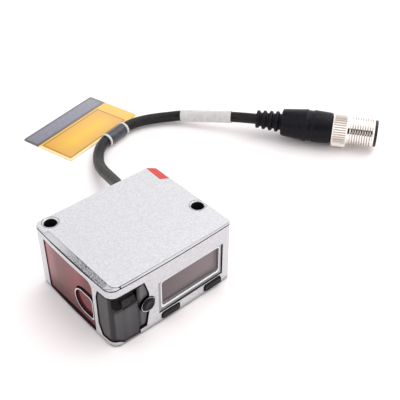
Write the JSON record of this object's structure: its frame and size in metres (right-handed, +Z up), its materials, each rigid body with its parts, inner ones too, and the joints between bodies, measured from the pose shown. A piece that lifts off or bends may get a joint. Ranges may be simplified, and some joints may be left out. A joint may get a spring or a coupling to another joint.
{
  "type": "laser photoelectric sensor",
  "caption": "Compact laser distance sensor in a cast housing with red optics window, display, buttons and a fixed cable with an M12 screw plug.",
  "frame": {"origin": "centre of the housing's base, on the surface it lies on", "axes": "+Z up through the cover, -X out of the red window, -Y out of the display face, +Y the side the cable leaves from"},
  "size_m": [0.1509, 0.129, 0.025],
  "materials": {
    "cast_housing": "fine mottled silver paint on a die casting",
    "seal": "matt black",
    "red_accent": "satin red",
    "red_window": "clear dark red, polished",
    "bright_trim": "polished",
    "dark_plastic": "moulded black",
    "brass_parts": "plated",
    "circuit_board": "solder mask",
    "steel_screws": "bright",
    "display": "dark module",
    "display_glass": "tinted clear panel",
    "display_frame": "satin silver",
    "smoked_plastic": "smoked clear plastic",
    "light_guide": "clear",
    "button_rubber": "satin black",
    "ribbon": "amber film",
    "cable_rubber": "matt black jacket",
    "tag_card": "coated card with bare fields of colour",
    "white_marker": "white sleeve",
    "plug_rubber": "moulded black",
    "screw_metal": "nickel plated, satin",
    "gold_pins": "gold plated"
  },
  "bodies": {
    "sensor": {"housing": "cast_housing", "top_cover": "cast_housing", "cover_gasket": "seal", "accent_inlay": "red_accent", "front_window": "red_window", "lens_ring": "bright_trim", "transmit_lens": "red_window", "receive_lens": "red_window", "optics_block": "dark_plastic", "laser_diode": "brass_parts", "image_sensor": "dark_plastic", "sensor_board": "circuit_board", "main_board": "circuit_board", "board_chips": "dark_plastic", "board_screws": "steel_screws", "display_board": "circuit_board", "display_module": "display", "display_panel": "display_glass", "display_frame": "display_frame", "indicator_cover": "smoked_plastic", "light_guide": "light_guide", "indicator_leds": "light_guide", "round_button_ring": "bright_trim", "tact_switches": "dark_plastic", "board_ribbon": "ribbon", "cable_boot": "cable_rubber", "cable": "cable_rubber", "cable_tag": "tag_card", "tag_rings": "white_marker", "marker_sleeve": "white_marker", "plug_body": "plug_rubber", "contact_carrier": "dark_plastic", "contact_pins": "gold_pins"},
    "round_button": {"round_button": "button_rubber"},
    "left_button": {"left_button": "button_rubber"},
    "right_button": {"right_button": "button_rubber"},
    "coupling_screw": {"coupling_screw": "screw_metal"}
  },
  "joints": [
    {"name": "round_button_press", "type": "slide", "parent": "sensor", "child": "round_button", "axis": [0, 1, 0], "range_m": [0, 0.0003], "stiffness_N_per_m": 1500},
    {"name": "left_button_press", "type": "slide", "parent": "sensor", "child": "left_button", "axis": [0, 1, 0], "range_m": [0, 0.0003], "stiffness_N_per_m": 1500},
    {"name": "right_button_press", "type": "slide", "parent": "sensor", "child": "right_button", "axis": [0, 1, 0], "range_m": [0, 0.0003], "stiffness_N_per_m": 1500},
    {"name": "coupling_screw_spin", "type": "hinge", "parent": "sensor", "child": "coupling_screw", "pos_m": [0.11637, 0.00404, 0.0073], "axis": [0.5843, -0.8115, 0], "continuous": true}
  ]
}
